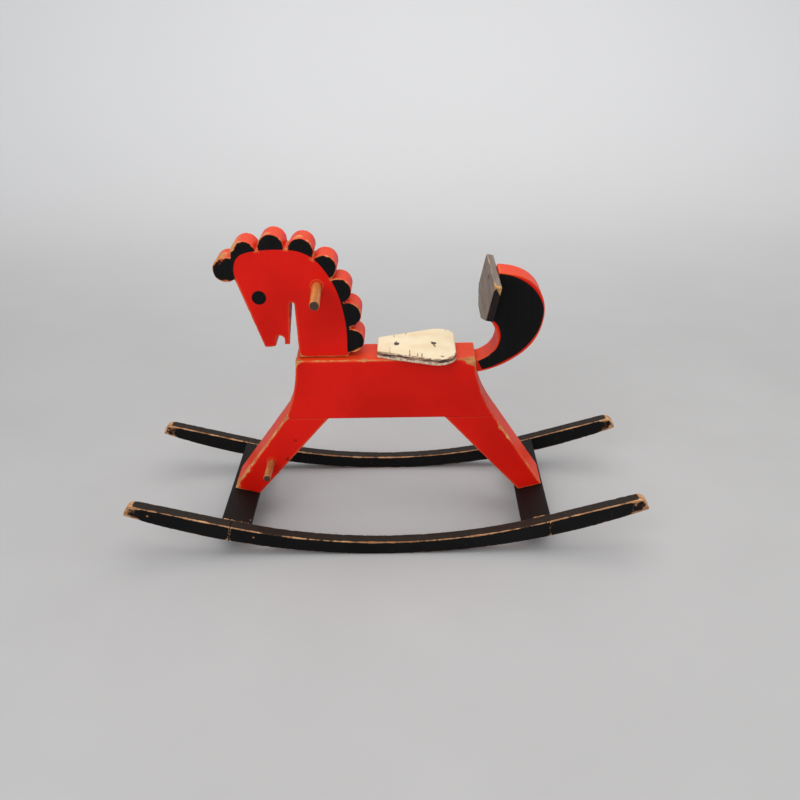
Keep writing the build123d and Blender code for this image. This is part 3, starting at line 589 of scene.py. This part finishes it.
def cream_seat():
    """Cream paint crazed and chipped along the plywood's edge."""
    s = Shader("cream_paint_on_plywood")
    wood, fibres = bare_wood(s, "x", srgb(190, 142, 96), srgb(132, 84, 54))
    blotch = s.noise(s.where, 16.0, 4.0, 0.6)
    specks = s.noise(s.where, 500.0, 4.0, 0.65)
    nicks = s.noise(s.where, 190.0, 5.0, 0.7)
    cream = s.mix(s.steps(blotch, 0.35, 0.7), srgb(232, 216, 182), srgb(222, 198, 156))
    fine = s.steps(s.noise(s.stretch((60, 900, 60)), 1.0, 4.0, 0.6), 0.66, 0.75)
    cream = s.mix(s.math("MULTIPLY", fine, 0.25), cream, srgb(176, 140, 96))
    layers = s.noise(s.stretch((40, 40, 520)), 1.0, 2.0, 0.5)
    ply = s.mix(s.steps(layers, 0.42, 0.6), srgb(172, 132, 104), srgb(66, 42, 32))
    peeled = s.math("ADD", s.attribute("side"), s.math("MULTIPLY", s.math("SUBTRACT", nicks, 0.5), 0.9))
    peeled = s.math("ADD", peeled, s.math("MULTIPLY", s.math("SUBTRACT", layers, 0.5), 1.1))
    dirty = s.mix(s.steps(nicks, 0.35, 0.65), srgb(226, 208, 182), srgb(178, 148, 122))
    colour = s.mix(s.steps(s.attribute("flank"), 0.35, 0.6), cream, dirty)
    worn = s.math("ADD", s.attribute("wear"), s.math("MULTIPLY", s.math("SUBTRACT", nicks, 0.5), 0.9))
    gone = s.steps(worn, -0.03, 0.06)
    colour = s.mix(gone, colour, s.mix(0.45, wood, srgb(112, 62, 42)))
    colour = s.mix(s.steps(peeled, 0.42, 0.55), colour, ply)
    crack = s.math("ADD", s.attribute("dark"), s.math("MULTIPLY", s.math("SUBTRACT", specks, 0.5), 0.5))
    opened = s.steps(crack, 0.35, 0.6)
    colour = s.mix(s.math("MULTIPLY", opened, 0.85), colour, srgb(96, 70, 48))
    rough = s.steps(specks, 0.3, 0.75, 0.42, 0.62)
    height = s.math("ADD", s.math("MULTIPLY", gone, -0.6), s.math("MULTIPLY", opened, -0.8))
    height = s.math("ADD", height, s.math("MULTIPLY", nicks, 0.22))
    height = s.math("ADD", height, s.math("MULTIPLY", fibres, 0.06))
    return s.finish(colour, rough, height, bump_distance=0.0005)


def on_seat(x, y):
    return x, y, SEAT_TOP_Z


seat = Board("cream_seat", "seat_board", "cream_paint", voxel=1.0, soften=2)
worn = age(seat, 71, edge_gain=1.0, edge_width=1.5, bias=1.32, patch=14.0, chip_depth=0.5, wobble=0.1,
           spots=[(121, -40, 313, 8, 0.7), (112, -58, 314, 7, 0.8), (-7, -20, 314, 5, 0.5),
                  (60, -67, 314, 6, 0.6), (20, -52, 314, 5, 0.5), (90, 70, 315, 8, 0.5)],
           lines=[((-6, -27, 314.5), (105, -68, 314.5), 1.8, 0.75)])
up = seat.normals[:, 2]
rim = smoothstep(0.3, 0.6, up) * smoothstep(0.97, 0.85, up)
seat.mesh.attributes["wear"].data.foreach_set("value", (worn + 1.15 * rim).astype(np.float32))
flank = 1 - np.abs(up)
height_share = (seat.points[:, 2] - BODY_TOP_Z) / (SEAT_TOP_Z - BODY_TOP_Z)
seat.store("flank", smoothstep(0.3, 0.75, flank))
peeled_band = 0.10 + 0.75 * np.exp(-((height_share - 0.62) / 0.24) ** 2)
seat.store("side", smoothstep(0.35, 0.8, flank) * peeled_band)
cracks = [((11, -8), (11.5, -34)), ((44.5, -24.5), (44.5, -47)), ((57.5, -36), (57.5, -51)),
          ((64.5, -38), (64.5, -54)), ((81, 11), (84.5, 4.5)), ((84.5, 4.5), (87, -14)),
          ((21.5, 15), (22.5, 2)), ((96, -51), (99.5, -55)), ((18, 33), (17.5, 42)),
          ((38, 47), (37.5, 52)), ((107, 58), (106.5, 67))]
crack_near = np.min([segment_distance(seat.points, on_seat(*a), on_seat(*b)) for a, b in cracks], axis=0)
front_hole = line_sum(seat.points, [(on_seat(22.5, 1), on_seat(22, 8), 4.2, 1.1)])
rear_hole = line_sum(seat.points, [(on_seat(82, 9.5), on_seat(86.5, -9), 1.7, 0.95)])
holes = np.maximum(front_hole, rear_hole)
smudge = spot_sum(seat.points, [(*on_seat(83.5, 6.5), 4.2, 0.35), (*on_seat(97.5, -53), 3.2, 0.7)])
faint = 0.72 + 0.3 * cloud(seat.points, 9.0, 2, 75)
seat.store("dark", np.exp(-(crack_near / 1.15) ** 2) * faint + holes + smudge)
seat.finish(cream_seat())


# ---- Backrest --------------------------------------------------------------------------------

def brown_backrest():
    """Thin dark brown paint, with a lighter, streaked grey-brown tone on its front face and top edge."""
    s = Shader("worn_brown_paint")
    wood, fibres = bare_wood(s, "y", srgb(200, 152, 92), srgb(150, 104, 58))
    streaks = s.noise(s.stretch((90, 14, 90)), 1.0, 5.0, 0.65)
    clouds = s.noise(s.where, 22.0, 4.0, 0.6)
    specks = s.noise(s.where, 450.0, 4.0, 0.65)
    face = s.mix(s.steps(streaks, 0.3, 0.7), srgb(132, 121, 110), srgb(104, 90, 80))
    face = s.mix(s.math("MULTIPLY", s.steps(clouds, 0.45, 0.75), 0.5), face, srgb(122, 92, 72))
    paint = s.mix(s.steps(streaks, 0.35, 0.7), srgb(30, 19, 16), srgb(15, 10, 9))
    scrapes = s.steps(s.noise(s.stretch((420, 420, 60)), 1.0, 3.0, 0.6), 0.66, 0.72)
    paint = s.mix(s.math("MULTIPLY", scrapes, 0.6), paint, srgb(122, 98, 84))
    colour = s.mix(s.steps(s.attribute("front"), 0.35, 0.65), paint, face)
    nicks = s.noise(s.where, 170.0, 5.0, 0.7)
    worn = s.math("ADD", s.attribute("wear"), s.math("MULTIPLY", s.math("SUBTRACT", nicks, 0.5), 0.9))
    worn = s.math("ADD", worn, s.math("MULTIPLY", s.math("SUBTRACT", specks, 0.5), 0.4))
    gone = s.steps(worn, -0.04, 0.08)
    colour = s.mix(s.math("MULTIPLY", s.steps(worn, -0.35, -0.05), 0.6), colour, srgb(150, 124, 104))
    colour = s.mix(gone, colour, s.mix(s.attribute("golden"), srgb(166, 142, 118), wood))
    dark = s.steps(s.attribute("dark"), 0.3, 0.7)
    colour = s.mix(s.math("MULTIPLY", dark, 0.85), colour, srgb(34, 26, 22))
    rough = s.steps(specks, 0.3, 0.75, 0.5, 0.7)
    height = s.math("ADD", s.math("MULTIPLY", gone, -0.4), s.math("MULTIPLY", streaks, 0.2))
    height = s.math("ADD", height, s.math("MULTIPLY", fibres, 0.1))
    return s.finish(colour, rough, height, bump_distance=0.0004, specular=0.2)


back = Board("brown_backrest", "backrest_board", "brown_stain", voxel=1.0, soften=2)
LEAN = math.radians(13.0)      # the backrest leans back
facing = -back.normals[:, 0] * math.cos(LEAN) + back.normals[:, 2] * math.sin(LEAN)
age(back, 83, edge_gain=0.9, edge_width=1.4, bias=1.3, patch=18.0, chip_depth=0.5, wobble=0.1,
    spots=[(181, -85, 444, 8, 1.6), (186, -86, 436, 6, 1.2), (176, -86, 400, 3.5, 0.9),
           (172, -86, 388, 3, 0.7), (180, 40, 444, 10, 0.5), (178, -70, 446, 8, 0.6),
           (176, 80, 440, 8, 0.6), (163, -28, 372, 5, 0.5)],
    lines=[((177, -84, 445), (177, 84, 445), 1.6, 0.5)])
top_edge = 0.62 * smoothstep(0.6, 0.9, back.normals[:, 2])
back.store("front", np.maximum(smoothstep(0.25, 0.75, facing), top_edge))
bare_corner = np.linalg.norm(back.points - np.array((182, -86, 441)), axis=1)
back.store("golden", smoothstep(26.0, 10.0, bare_corner))
back.store("dark", spot_sum(back.points, [(174.5, 0, 433, 5.5, 1.0)]))
back.finish(brown_backrest())


# ---- Rockers and crossboards -----------------------------------------------------------------

ROLL_RADIUS = 1187.0           # of the edge that rolls on the floor
HOLLOW_RADIUS = 1010.0         # of the top edge between the splices
HOLLOW_CENTRE_Z = 1034.0
FRONT_SPLICE_X, REAR_SPLICE_X = 257.5, 270.0    # of the top ends of the splices, from the middle


def hollow_height(x):
    return HOLLOW_CENTRE_Z - np.sqrt(HOLLOW_RADIUS**2 - x**2)


def splice_seam(x_top, sign):
    """A rocker's glued joint: its distance from points, in the side view."""
    angle = math.atan2(x_top, ROLL_RADIUS - hollow_height(x_top))

    def off(points):
        x, z = points[..., 0] * sign, points[..., 2]
        return x * math.cos(angle) - (ROLL_RADIUS - z) * math.sin(angle)
    return off


def rocker_top(x):
    """Height of the rockers' top edge: hollow between the splices and straight beyond them."""
    meets = np.where(x < 0, FRONT_SPLICE_X, REAR_SPLICE_X)
    inner = np.minimum(np.abs(x), meets)
    slope = meets / np.sqrt(HOLLOW_RADIUS**2 - meets**2)
    return hollow_height(inner) + (np.abs(x) - inner) * slope


def rocker_edges(p):
    """Distances in a rocker piece: from its rolling edge, its top edge and its nearest arris."""
    rolling = ROLL_RADIUS - np.hypot(p[:, 0], ROLL_RADIUS - p[:, 2])
    upper = np.abs(rocker_top(p[:, 0]) - p[:, 2]) * 0.97
    across = np.abs(p[:, 1])
    aside = np.minimum(np.abs(across - ROCKER_INNER), np.abs(ROCKER_OUTER - across))
    edge = np.maximum(np.hypot(np.minimum(np.abs(rolling), upper), aside) - 0.8, 0)
    return rolling, upper, edge


front_splice, rear_splice = splice_seam(FRONT_SPLICE_X, -1), splice_seam(REAR_SPLICE_X, 1)
FLECKS = [(-392, -ROCKER_OUTER, 81, 2.6, 1.7), (-220.5, -ROCKER_OUTER, 36.5, 2.6, 1.7),
          (-13.5, ROCKER_INNER, 31, 4.0, 1.5)]


def wear_rocker(rocker, y_side, seed):
    """Wears a rocker piece bare along its arrises, at its tip and across its splices."""
    p, n = rocker.points, rocker.normals
    rolling, upper, edge = rocker_edges(p)
    left_arris = p[:, 1] < (ROCKER_INNER + ROCKER_OUTER) / 2 * y_side
    top_gain, foot_gain = np.where(left_arris, 1.8, 1.4), np.where(left_arris, 1.4, 1.25)
    gain = np.where(rolling > upper, top_gain, foot_gain)
    lumps, chips = cloud(p, 30.0, 3, seed), cloud(p, 4.5, 3, seed + 40)
    worn = gain * np.exp(-edge / 1.5) + 0.5 * lumps * np.exp(-edge / 3.0) + 0.32 * chips - 1.1

    reach = np.abs(p[:, 0])
    outward = n[:, 0] * np.sign(p[:, 0]) * (np.abs(n[:, 1]) < 0.6)
    worn += 2.0 * smoothstep(398, 410, reach + 6.0 * lumps) * smoothstep(-0.15, 0.2, outward)
    worn += 1.2 * smoothstep(418, 431, reach + 4.0 * lumps)
    worn += 0.9 * np.exp(-edge / 3.0) * smoothstep(398, 416, reach)

    joint = np.minimum(np.abs(front_splice(p)), np.abs(rear_splice(p)))
    foot = np.exp(-((rolling / 5.0) ** 2))
    strips = (1.6 + 0.7 * foot) * np.exp(-((joint / (2.2 + 2.6 * foot)) ** 2))
    strips *= smoothstep(-0.9, -0.4, cloud(p, 14.0, 2, seed + 9))
    worn += strips * smoothstep(0.5, 0.8, np.abs(n[:, 1])) + spot_sum(p, FLECKS)

    bare, near_edge = smoothstep(0.0, 0.35, worn), np.exp(-edge / 2.2)
    dents = smoothstep(0.35, 0.9, cloud(p, 9.0, 3, seed + 80)) * near_edge
    depth = bare * (0.1 + 0.4 * near_edge) + 0.5 * dents + 0.06 * cloud(p, 60.0, 2, seed)
    rocker.push(np.clip(depth, 0, 2))
    rocker.store("wear", worn)
    rocker.store("edge", edge)
    # How much each point faces up, for the browner top tone: partly worn paint, partly painted top light.
    rocker.store("up", smoothstep(0.15, 0.85, rocker.normals[:, 2]))
    rocker.store("dark", 0.7 * np.exp(-((joint / 0.45) ** 2)))


ROCKER_PARTS = (("middle", [front_splice, rear_splice]), ("front_end", [front_splice]),
                ("rear_end", [rear_splice]))
for side, y_side, seed in (("left", -1, 101), ("right", 1, 151)):
    for number, (part, seams) in enumerate(ROCKER_PARTS):
        rocker = Board(f"painted_{side}_rocker_{part}", f"{side}_rocker_{part}", "black_paint",
                       voxel=1.35, soften=4, seams=seams)
        wear_rocker(rocker, y_side, seed + 7 * number)
        rocker.finish(black_x)

for name, node, seed in (("painted_front_crossboard", "front_crossboard", 201),
                         ("painted_rear_crossboard", "rear_crossboard", 211)):
    board = Board(name, node, "black_paint", voxel=1.4)
    sign = -1 if "front" in name else 1
    age(board, seed, edge_gain=1.0, edge_width=1.1, bias=1.12, chip_depth=0.4,
        spots=[(sign * 228, -124, 50, 6, 0.9), (sign * 272, 60, 60, 8, 0.5), (sign * 228, 100, 50, 7, 0.6)])
    board.store("dark", np.zeros(len(board.points)))
    board.finish(black_y)


# ---- Rods, screws and hidden dowels ----------------------------------------------------------

rod_material = rod_wood("handled_dowel_wood")
for name, node, faces_y, reach, seed in (
        ("worn_handle", "handle_dowel", (HEAD_NEAR, HEAD_FAR), 16.0, 231),
        ("worn_footrest", "footrest_dowel", (-HALF_BODY, HALF_BODY), 8.0, 241)):
    rod = Board(name, node, "bare_wood", voxel=0.8, soften=3)
    low, high = rod.points[:, 1].min(), rod.points[:, 1].max()
    from_end = np.minimum(rod.points[:, 1] - low, high - rod.points[:, 1])
    dents = smoothstep(0.2, 0.8, cloud(rod.points, 6, 2, seed))
    rod.push(0.15 * cloud(rod.points, 18.0, 2, seed) + 0.12 * dents)
    beyond = np.maximum(faces_y[0] - rod.points[:, 1], rod.points[:, 1] - faces_y[1])
    rod.store("root", smoothstep(reach, 0.0, beyond))
    flat_end = smoothstep(0.6, 0.95, np.abs(rod.normals[:, 1]))
    rod.store("end", smoothstep(1.3, 0.6, from_end) * flat_end)
    rod.finish(rod_material)

steel = old_steel("old_steel_screws")
hidden_wood = plain_wood("dowel_wood")
for node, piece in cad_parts.items():
    if piece.hide_render:
        continue
    material = steel if "screw" in node else hidden_wood
    for slot in piece.material_slots:
        slot.material = material


# ---- Stage, light and camera -----------------------------------------------------------------

def stage_surface():
    """A pale floor that curves up into a pale wall far behind."""
    s = Shader("pale_stage")
    grain = s.noise(s.where, 3.0, 5.0, 0.6)
    colour = s.mix(s.steps(grain, 0.3, 0.7), (0.43, 0.425, 0.42), (0.45, 0.445, 0.44))
    away = s.node("ShaderNodeSeparateXYZ", {0: s.where}).outputs["Y"]
    colour = s.mix(s.steps(away, 0.5, 3.0), colour, (0.78, 0.78, 0.78))
    return s.finish(colour, 0.75, grain, bump_distance=0.0002, specular=0.2)


FLOOR_END, BEND = 1.6, 1.4       # the flat floor ends here, and curves up with this radius
profile = [(-6.0, 0.0), (FLOOR_END, 0.0)]
for a in np.linspace(0, math.pi / 2, 25)[1:]:
    profile.append((FLOOR_END + BEND * math.sin(a), BEND - BEND * math.cos(a)))
profile.append((FLOOR_END + BEND, 6.0))
sweep = bpy.data.meshes.new("stage")
verts = [(x, y, z) for y, z in profile for x in (-7.0, 7.0)]
faces = [(2 * i, 2 * i + 1, 2 * i + 3, 2 * i + 2) for i in range(len(profile) - 1)]
sweep.from_pydata(verts, [], faces)
sweep.polygons.foreach_set("use_smooth", np.ones(len(faces), bool))
sweep.materials.append(stage_surface())
stage = bpy.data.objects.new("stage", sweep)
bpy.context.scene.collection.objects.link(stage)
stage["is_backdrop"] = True


def soft_light(name, place, target, size, power, colour=(1.0, 1.0, 1.0)):
    lamp = bpy.data.lights.new(name, "AREA")
    lamp.shape, lamp.size, lamp.energy, lamp.color = "DISK", size, power, colour
    made = bpy.data.objects.new(name, lamp)
    made.location = place
    made.rotation_euler = (Vector(target) - Vector(place)).to_track_quat("-Z", "Y").to_euler()
    bpy.context.scene.collection.objects.link(made)


soft_light("overhead", (0.2, 0.3, 2.8), (0.0, 0.0, 0.2), 3.6, 58.0, (1.0, 0.985, 0.965))
soft_light("front_fill", (-1.2, -2.8, 2.2), (0.0, 0.0, 0.25), 3.0, 56.0, (0.98, 0.99, 1.0))
soft_light("side_fill", (2.8, -0.8, 1.8), (0.0, 0.0, 0.25), 2.4, 16.0, (1.0, 0.99, 0.97))

world = bpy.data.worlds.new("studio")
bpy.context.scene.world = world
world.use_nodes = True
backdrop = world.node_tree.nodes.get("Background") or world.node_tree.nodes.new("ShaderNodeBackground")
backdrop.inputs[0].default_value = (0.93, 0.95, 1.0, 1.0)
backdrop.inputs[1].default_value = 0.48
if not world.node_tree.nodes.get("World Output"):
    out = world.node_tree.nodes.new("ShaderNodeOutputWorld")
    world.node_tree.links.new(backdrop.outputs[0], out.inputs[0])

lens = bpy.data.cameras.new("camera")
lens.lens, lens.sensor_width = 41.85, 36.0
lens.clip_start, lens.clip_end = 0.05, 60.0
camera = bpy.data.objects.new("camera", lens)
camera.location = (0.0518, -1.446, 0.9151)
camera.rotation_euler = [math.radians(angle) for angle in (64.069, 1.1436, 0.4628)]
bpy.context.scene.collection.objects.link(camera)
bpy.context.scene.camera = camera
bpy.context.scene.view_settings.view_transform = "Standard"

low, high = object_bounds()
